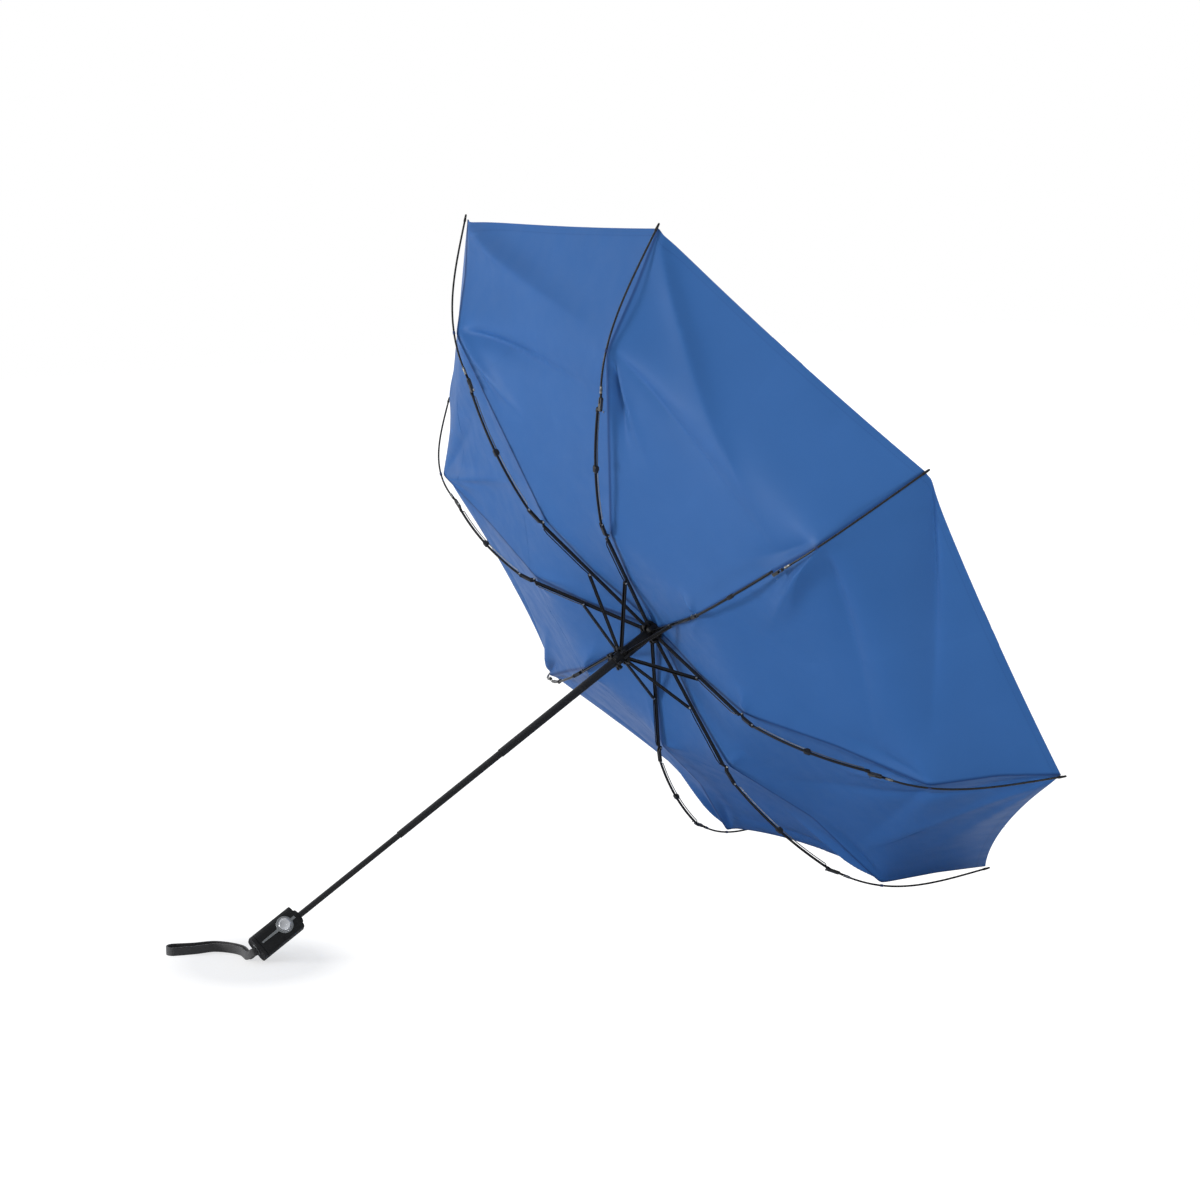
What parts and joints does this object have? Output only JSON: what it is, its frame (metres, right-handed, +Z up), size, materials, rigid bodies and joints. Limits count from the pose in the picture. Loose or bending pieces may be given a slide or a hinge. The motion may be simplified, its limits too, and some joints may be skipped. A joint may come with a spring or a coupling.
{
  "type": "windproof folding umbrella",
  "caption": "Folding windproof umbrella blown inside out, lying on its grip and rim, with jointed ribs, sliding runner, telescopic shaft and press button.",
  "frame": {"origin": "on the floor, under the middle of the umbrella's box, as it lies on its grip and two rib tips", "axes": "+Z up from the floor; +X along the floor from the handle towards the crown; +Y to the left of that"},
  "size_m": [0.9716, 0.9686, 0.7966],
  "materials": {
    "grip_rubber": "matte",
    "black_plastic": "satin",
    "grey_bezel": "satin",
    "silver_button": "satin",
    "black_steel": "satin",
    "blue_pongee": "satin",
    "black_webbing": "matte"
  },
  "bodies": {
    "handle": {"handle_shell": "grip_rubber", "handle_end_cap": "black_plastic", "button_bezel": "grey_bezel", "wrist_strap": "black_webbing", "tube_lower": "black_steel"},
    "release_button": {"release_button": "silver_button"},
    "middle_shaft": {"tube_middle": "black_steel"},
    "upper_shaft": {"tube_upper": "black_steel", "crown": "black_plastic", "top_cap": "black_plastic", "canopy": "blue_pongee"},
    "runner": {"runner": "black_plastic"},
    "top_rib_1": {"top_rib_1": "black_steel"},
    "stretcher_1": {"stretcher_1": "black_steel"},
    "knuckle_1": {"knuckle_1": "black_plastic"},
    "middle_rib_1": {"middle_rib_1": "black_steel"},
    "rib_socket_1": {"rib_socket_1": "black_plastic"},
    "outer_rib_1": {"outer_rib_1": "black_steel"},
    "top_rib_2": {"top_rib_2": "black_steel"},
    "stretcher_2": {"stretcher_2": "black_steel"},
    "knuckle_2": {"knuckle_2": "black_plastic"},
    "middle_rib_2": {"middle_rib_2": "black_steel"},
    "rib_socket_2": {"rib_socket_2": "black_plastic"},
    "outer_rib_2": {"outer_rib_2": "black_steel"},
    "top_rib_3": {"top_rib_3": "black_steel"},
    "stretcher_3": {"stretcher_3": "black_steel"},
    "knuckle_3": {"knuckle_3": "black_plastic"},
    "middle_rib_3": {"middle_rib_3": "black_steel"},
    "rib_socket_3": {"rib_socket_3": "black_plastic"},
    "outer_rib_3": {"outer_rib_3": "black_steel"},
    "top_rib_4": {"top_rib_4": "black_steel"},
    "stretcher_4": {"stretcher_4": "black_steel"},
    "knuckle_4": {"knuckle_4": "black_plastic"},
    "middle_rib_4": {"middle_rib_4": "black_steel"},
    "rib_socket_4": {"rib_socket_4": "black_plastic"},
    "outer_rib_4": {"outer_rib_4": "black_steel"},
    "top_rib_5": {"top_rib_5": "black_steel"},
    "stretcher_5": {"stretcher_5": "black_steel"},
    "knuckle_5": {"knuckle_5": "black_plastic"},
    "middle_rib_5": {"middle_rib_5": "black_steel"},
    "rib_socket_5": {"rib_socket_5": "black_plastic"},
    "outer_rib_5": {"outer_rib_5": "black_steel"},
    "top_rib_6": {"top_rib_6": "black_steel"},
    "stretcher_6": {"stretcher_6": "black_steel"},
    "knuckle_6": {"knuckle_6": "black_plastic"},
    "middle_rib_6": {"middle_rib_6": "black_steel"},
    "rib_socket_6": {"rib_socket_6": "black_plastic"},
    "outer_rib_6": {"outer_rib_6": "black_steel"},
    "top_rib_7": {"top_rib_7": "black_steel"},
    "stretcher_7": {"stretcher_7": "black_steel"},
    "knuckle_7": {"knuckle_7": "black_plastic"},
    "middle_rib_7": {"middle_rib_7": "black_steel"},
    "rib_socket_7": {"rib_socket_7": "black_plastic"},
    "outer_rib_7": {"outer_rib_7": "black_steel"},
    "top_rib_8": {"top_rib_8": "black_steel"},
    "stretcher_8": {"stretcher_8": "black_steel"},
    "knuckle_8": {"knuckle_8": "black_plastic"},
    "middle_rib_8": {"middle_rib_8": "black_steel"},
    "rib_socket_8": {"rib_socket_8": "black_plastic"},
    "outer_rib_8": {"outer_rib_8": "black_steel"}
  },
  "joints": [
    {"name": "button_press", "type": "slide", "parent": "handle", "child": "release_button", "axis": [0.3013, 0.7934, -0.529], "range_m": [0, 0.0016], "stiffness_N_per_m": 900, "springref_m": -0.0006},
    {"name": "lower_telescope", "type": "slide", "parent": "handle", "child": "middle_shaft", "axis": [-0.869, 0, -0.4949], "range_m": [0, 0.1435]},
    {"name": "upper_telescope", "type": "slide", "parent": "middle_shaft", "child": "upper_shaft", "axis": [-0.869, 0, -0.4949], "range_m": [0, 0.1505]},
    {"name": "fold", "type": "hinge", "parent": "upper_shaft", "child": "top_rib_1", "pos_m": [0.11987, -0.0039, 0.30319], "axis": [0.193, 0.9208, -0.3389], "range_deg": [0, 77.6], "deforming": ["canopy"]},
    {"name": "runner_slide", "type": "slide", "parent": "upper_shaft", "child": "runner", "axis": [-0.869, 0, -0.4949], "range_m": [0, 0.1365]},
    {"name": "stretcher_1_hinge", "type": "hinge", "parent": "top_rib_1", "child": "stretcher_1", "pos_m": [0.14405, -0.0381, 0.22401], "axis": [-0.193, -0.9208, 0.3389], "range_deg": [0, 149.5]},
    {"name": "knuckle_1_hinge", "type": "hinge", "parent": "top_rib_1", "child": "knuckle_1", "pos_m": [0.17499, -0.06997, 0.15504], "axis": [-0.193, -0.9208, 0.3389], "range_deg": [0, 156.6]},
    {"name": "wind_flip", "type": "hinge", "parent": "knuckle_1", "child": "middle_rib_1", "pos_m": [0.18059, -0.0784, 0.13534], "axis": [-0.193, -0.9208, 0.3389], "range_deg": [-39, 0]},
    {"name": "rib_socket_1_hinge", "type": "hinge", "parent": "middle_rib_1", "child": "rib_socket_1", "pos_m": [0.27748, -0.13345, 0.0297], "axis": [0.193, 0.9208, -0.3389], "range_deg": [0, 218.6]},
    {"name": "outer_rib_1_hinge", "type": "hinge", "parent": "rib_socket_1", "child": "outer_rib_1", "pos_m": [0.28968, -0.13793, 0.0245], "axis": [-0.193, -0.9208, 0.3389], "range_deg": [-41, 0]},
    {"name": "top_rib_2_hinge", "type": "hinge", "parent": "upper_shaft", "child": "top_rib_2", "pos_m": [0.1199, 0.00375, 0.30314], "axis": [-0.1858, 0.9269, 0.3262], "range_deg": [0, 77.6]},
    {"name": "stretcher_2_hinge", "type": "hinge", "parent": "top_rib_2", "child": "stretcher_2", "pos_m": [0.14434, 0.03668, 0.2235], "axis": [0.1858, -0.9269, -0.3262], "range_deg": [0, 149.5]},
    {"name": "knuckle_2_hinge", "type": "hinge", "parent": "top_rib_2", "child": "knuckle_2", "pos_m": [0.17553, 0.06735, 0.1541], "axis": [0.1858, -0.9269, -0.3262], "range_deg": [0, 156.6]},
    {"name": "middle_rib_2_hinge", "type": "hinge", "parent": "knuckle_2", "child": "middle_rib_2", "pos_m": [0.18119, 0.07546, 0.13428], "axis": [0.1858, -0.9269, -0.3262], "range_deg": [-39, 0]},
    {"name": "rib_socket_2_hinge", "type": "hinge", "parent": "middle_rib_2", "child": "rib_socket_2", "pos_m": [0.27709, 0.13534, 0.03038], "axis": [-0.1858, 0.9269, 0.3262], "range_deg": [0, 218.6]},
    {"name": "outer_rib_2_hinge", "type": "hinge", "parent": "rib_socket_2", "child": "outer_rib_2", "pos_m": [0.28933, 0.13964, 0.02512], "axis": [0.1858, -0.9269, -0.3262], "range_deg": [-41, 0]},
    {"name": "top_rib_3_hinge", "type": "hinge", "parent": "upper_shaft", "child": "top_rib_3", "pos_m": [0.11724, 0.00921, 0.3078], "axis": [-0.4557, 0.39, 0.8002], "range_deg": [0, 77.6]},
    {"name": "stretcher_3_hinge", "type": "hinge", "parent": "top_rib_3", "child": "stretcher_3", "pos_m": [0.11838, 0.08997, 0.26909], "axis": [0.4557, -0.39, -0.8002], "range_deg": [0, 149.5]},
    {"name": "knuckle_3_hinge", "type": "hinge", "parent": "top_rib_3", "child": "knuckle_3", "pos_m": [0.12785, 0.16522, 0.23781], "axis": [0.4557, -0.39, -0.8002], "range_deg": [0, 156.6]},
    {"name": "middle_rib_3_hinge", "type": "hinge", "parent": "knuckle_3", "child": "middle_rib_3", "pos_m": [0.12778, 0.18512, 0.22807], "axis": [0.4557, -0.39, -0.8002], "range_deg": [-39, 0]},
    {"name": "rib_socket_3_hinge", "type": "hinge", "parent": "middle_rib_3", "child": "rib_socket_3", "pos_m": [0.18276, 0.32485, 0.19602], "axis": [-0.4557, 0.39, 0.8002], "range_deg": [0, 202.6]},
    {"name": "outer_rib_3_hinge", "type": "hinge", "parent": "rib_socket_3", "child": "outer_rib_3", "pos_m": [0.18927, 0.33704, 0.19379], "axis": [0.4557, -0.39, -0.8002], "range_deg": [-41, 0]},
    {"name": "top_rib_4_hinge", "type": "hinge", "parent": "upper_shaft", "child": "top_rib_4", "pos_m": [0.11345, 0.00927, 0.31445], "axis": [-0.4587, -0.3754, 0.8054], "range_deg": [0, 77.6]},
    {"name": "stretcher_4_hinge", "type": "hinge", "parent": "top_rib_4", "child": "stretcher_4", "pos_m": [0.08137, 0.09057, 0.33407], "axis": [0.4587, 0.3754, -0.8054], "range_deg": [0, 149.5]},
    {"name": "knuckle_4_hinge", "type": "hinge", "parent": "top_rib_4", "child": "knuckle_4", "pos_m": [0.0599, 0.16631, 0.35714], "axis": [0.4587, 0.3754, -0.8054], "range_deg": [0, 156.6]},
    {"name": "middle_rib_4_hinge", "type": "hinge", "parent": "knuckle_4", "child": "middle_rib_4", "pos_m": [0.05164, 0.18633, 0.36177], "axis": [0.4587, 0.3754, -0.8054], "range_deg": [-39, 0]},
    {"name": "rib_socket_4_hinge", "type": "hinge", "parent": "middle_rib_4", "child": "rib_socket_4", "pos_m": [0.04974, 0.32407, 0.4296], "axis": [-0.4587, -0.3754, 0.8054], "range_deg": [0, 202.6]},
    {"name": "outer_rib_4_hinge", "type": "hinge", "parent": "rib_socket_4", "child": "outer_rib_4", "pos_m": [0.05124, 0.33634, 0.43617], "axis": [0.4587, 0.3754, -0.8054], "range_deg": [-41, 0]},
    {"name": "top_rib_5_hinge", "type": "hinge", "parent": "upper_shaft", "child": "top_rib_5", "pos_m": [0.11075, 0.0039, 0.31919], "axis": [-0.193, -0.9208, 0.3389], "range_deg": [0, 77.6]},
    {"name": "stretcher_5_hinge", "type": "hinge", "parent": "top_rib_5", "child": "stretcher_5", "pos_m": [0.055, 0.0381, 0.38038], "axis": [0.193, 0.9208, -0.3389], "range_deg": [0, 149.5]},
    {"name": "knuckle_5_hinge", "type": "hinge", "parent": "top_rib_5", "child": "knuckle_5", "pos_m": [0.01146, 0.06997, 0.44218], "axis": [0.193, 0.9208, -0.3389], "range_deg": [0, 156.6]},
    {"name": "middle_rib_5_hinge", "type": "hinge", "parent": "knuckle_5", "child": "middle_rib_5", "pos_m": [-0.00263, 0.0784, 0.45705], "axis": [0.193, 0.9208, -0.3389], "range_deg": [-39, 0]},
    {"name": "rib_socket_5_hinge", "type": "hinge", "parent": "middle_rib_5", "child": "rib_socket_5", "pos_m": [-0.04405, 0.13345, 0.59428], "axis": [-0.193, -0.9208, 0.3389], "range_deg": [0, 202.6]},
    {"name": "outer_rib_5_hinge", "type": "hinge", "parent": "rib_socket_5", "child": "outer_rib_5", "pos_m": [-0.04612, 0.13862, 0.60713], "axis": [0.193, 0.9208, -0.3389], "range_deg": [-41, 0]},
    {"name": "top_rib_6_hinge", "type": "hinge", "parent": "upper_shaft", "child": "top_rib_6", "pos_m": [0.11072, -0.00375, 0.31924], "axis": [0.1858, -0.9269, -0.3262], "range_deg": [0, 77.6]},
    {"name": "stretcher_6_hinge", "type": "hinge", "parent": "top_rib_6", "child": "stretcher_6", "pos_m": [0.0547, -0.03668, 0.3809], "axis": [-0.1858, 0.9269, 0.3262], "range_deg": [0, 149.5]},
    {"name": "knuckle_6_hinge", "type": "hinge", "parent": "top_rib_6", "child": "knuckle_6", "pos_m": [0.01093, -0.06735, 0.44313], "axis": [-0.1858, 0.9269, 0.3262], "range_deg": [0, 156.6]},
    {"name": "middle_rib_6_hinge", "type": "hinge", "parent": "knuckle_6", "child": "middle_rib_6", "pos_m": [-0.00323, -0.07546, 0.45811], "axis": [-0.1858, 0.9269, 0.3262], "range_deg": [-39, 0]},
    {"name": "rib_socket_6_hinge", "type": "hinge", "parent": "middle_rib_6", "child": "rib_socket_6", "pos_m": [-0.04366, -0.13534, 0.5936], "axis": [0.1858, -0.9269, -0.3262], "range_deg": [0, 202.6]},
    {"name": "outer_rib_6_hinge", "type": "hinge", "parent": "rib_socket_6", "child": "outer_rib_6", "pos_m": [-0.04577, -0.14031, 0.60652], "axis": [-0.1858, 0.9269, 0.3262], "range_deg": [-41, 0]},
    {"name": "top_rib_7_hinge", "type": "hinge", "parent": "upper_shaft", "child": "top_rib_7", "pos_m": [0.11338, -0.00921, 0.31458], "axis": [0.4557, -0.39, -0.8002], "range_deg": [0, 77.6]},
    {"name": "stretcher_7_hinge", "type": "hinge", "parent": "top_rib_7", "child": "stretcher_7", "pos_m": [0.08066, -0.08997, 0.33531], "axis": [-0.4557, 0.39, 0.8002], "range_deg": [0, 149.5]},
    {"name": "knuckle_7_hinge", "type": "hinge", "parent": "top_rib_7", "child": "knuckle_7", "pos_m": [0.0586, -0.16522, 0.35942], "axis": [-0.4557, 0.39, 0.8002], "range_deg": [0, 156.6]},
    {"name": "middle_rib_7_hinge", "type": "hinge", "parent": "knuckle_7", "child": "middle_rib_7", "pos_m": [0.05018, -0.18512, 0.36432], "axis": [-0.4557, 0.39, 0.8002], "range_deg": [-39, 0]},
    {"name": "rib_socket_7_hinge", "type": "hinge", "parent": "middle_rib_7", "child": "rib_socket_7", "pos_m": [0.05067, -0.32485, 0.42796], "axis": [0.4557, -0.39, -0.8002], "range_deg": [0, 202.6]},
    {"name": "outer_rib_7_hinge", "type": "hinge", "parent": "rib_socket_7", "child": "outer_rib_7", "pos_m": [0.05208, -0.33704, 0.4347], "axis": [-0.4557, 0.39, 0.8002], "range_deg": [-41, 0]},
    {"name": "top_rib_8_hinge", "type": "hinge", "parent": "upper_shaft", "child": "top_rib_8", "pos_m": [0.11717, -0.00927, 0.30793], "axis": [0.4587, 0.3754, -0.8054], "range_deg": [0, 77.6]},
    {"name": "stretcher_8_hinge", "type": "hinge", "parent": "top_rib_8", "child": "stretcher_8", "pos_m": [0.11767, -0.09057, 0.27033], "axis": [-0.4587, -0.3754, 0.8054], "range_deg": [0, 149.5]},
    {"name": "knuckle_8_hinge", "type": "hinge", "parent": "top_rib_8", "child": "knuckle_8", "pos_m": [0.12656, -0.16631, 0.24009], "axis": [-0.4587, -0.3754, 0.8054], "range_deg": [0, 156.6]},
    {"name": "middle_rib_8_hinge", "type": "hinge", "parent": "knuckle_8", "child": "middle_rib_8", "pos_m": [0.12632, -0.18633, 0.23062], "axis": [-0.4587, -0.3754, 0.8054], "range_deg": [-39, 0]},
    {"name": "rib_socket_8_hinge", "type": "hinge", "parent": "middle_rib_8", "child": "rib_socket_8", "pos_m": [0.18369, -0.32407, 0.19438], "axis": [0.4587, 0.3754, -0.8054], "range_deg": [0, 202.6]},
    {"name": "outer_rib_8_hinge", "type": "hinge", "parent": "rib_socket_8", "child": "outer_rib_8", "pos_m": [0.19011, -0.33634, 0.19232], "axis": [-0.4587, -0.3754, 0.8054], "range_deg": [-41, 0]}
  ],
  "couplings": [
    {"joint": "runner_slide", "follows": "fold", "m_per_rad": 0.10078},
    {"joint": "stretcher_1_hinge", "follows": "fold", "ratio": 1.9265},
    {"joint": "knuckle_1_hinge", "follows": "fold", "ratio": 2.018},
    {"joint": "rib_socket_1_hinge", "follows": "fold", "ratio": 2.817},
    {"joint": "outer_rib_1_hinge", "follows": "wind_flip", "ratio": 1.05},
    {"joint": "top_rib_2_hinge", "follows": "fold", "ratio": 1},
    {"joint": "stretcher_2_hinge", "follows": "fold", "ratio": 1.9265},
    {"joint": "knuckle_2_hinge", "follows": "fold", "ratio": 2.018},
    {"joint": "middle_rib_2_hinge", "follows": "wind_flip", "ratio": 1},
    {"joint": "rib_socket_2_hinge", "follows": "fold", "ratio": 2.817},
    {"joint": "outer_rib_2_hinge", "follows": "wind_flip", "ratio": 1.05},
    {"joint": "top_rib_3_hinge", "follows": "fold", "ratio": 1},
    {"joint": "stretcher_3_hinge", "follows": "fold", "ratio": 1.9265},
    {"joint": "knuckle_3_hinge", "follows": "fold", "ratio": 2.018},
    {"joint": "middle_rib_3_hinge", "follows": "wind_flip", "ratio": 1},
    {"joint": "rib_socket_3_hinge", "follows": "fold", "ratio": 2.6108},
    {"joint": "outer_rib_3_hinge", "follows": "wind_flip", "ratio": 1.05},
    {"joint": "top_rib_4_hinge", "follows": "fold", "ratio": 1},
    {"joint": "stretcher_4_hinge", "follows": "fold", "ratio": 1.9265},
    {"joint": "knuckle_4_hinge", "follows": "fold", "ratio": 2.018},
    {"joint": "middle_rib_4_hinge", "follows": "wind_flip", "ratio": 1},
    {"joint": "rib_socket_4_hinge", "follows": "fold", "ratio": 2.6108},
    {"joint": "outer_rib_4_hinge", "follows": "wind_flip", "ratio": 1.05},
    {"joint": "top_rib_5_hinge", "follows": "fold", "ratio": 1},
    {"joint": "stretcher_5_hinge", "follows": "fold", "ratio": 1.9265},
    {"joint": "knuckle_5_hinge", "follows": "fold", "ratio": 2.018},
    {"joint": "middle_rib_5_hinge", "follows": "wind_flip", "ratio": 1},
    {"joint": "rib_socket_5_hinge", "follows": "fold", "ratio": 2.6108},
    {"joint": "outer_rib_5_hinge", "follows": "wind_flip", "ratio": 1.05},
    {"joint": "top_rib_6_hinge", "follows": "fold", "ratio": 1},
    {"joint": "stretcher_6_hinge", "follows": "fold", "ratio": 1.9265},
    {"joint": "knuckle_6_hinge", "follows": "fold", "ratio": 2.018},
    {"joint": "middle_rib_6_hinge", "follows": "wind_flip", "ratio": 1},
    {"joint": "rib_socket_6_hinge", "follows": "fold", "ratio": 2.6108},
    {"joint": "outer_rib_6_hinge", "follows": "wind_flip", "ratio": 1.05},
    {"joint": "top_rib_7_hinge", "follows": "fold", "ratio": 1},
    {"joint": "stretcher_7_hinge", "follows": "fold", "ratio": 1.9265},
    {"joint": "knuckle_7_hinge", "follows": "fold", "ratio": 2.018},
    {"joint": "middle_rib_7_hinge", "follows": "wind_flip", "ratio": 1},
    {"joint": "rib_socket_7_hinge", "follows": "fold", "ratio": 2.6108},
    {"joint": "outer_rib_7_hinge", "follows": "wind_flip", "ratio": 1.05},
    {"joint": "top_rib_8_hinge", "follows": "fold", "ratio": 1},
    {"joint": "stretcher_8_hinge", "follows": "fold", "ratio": 1.9265},
    {"joint": "knuckle_8_hinge", "follows": "fold", "ratio": 2.018},
    {"joint": "middle_rib_8_hinge", "follows": "wind_flip", "ratio": 1},
    {"joint": "rib_socket_8_hinge", "follows": "fold", "ratio": 2.6108},
    {"joint": "outer_rib_8_hinge", "follows": "wind_flip", "ratio": 1.05}
  ]
}
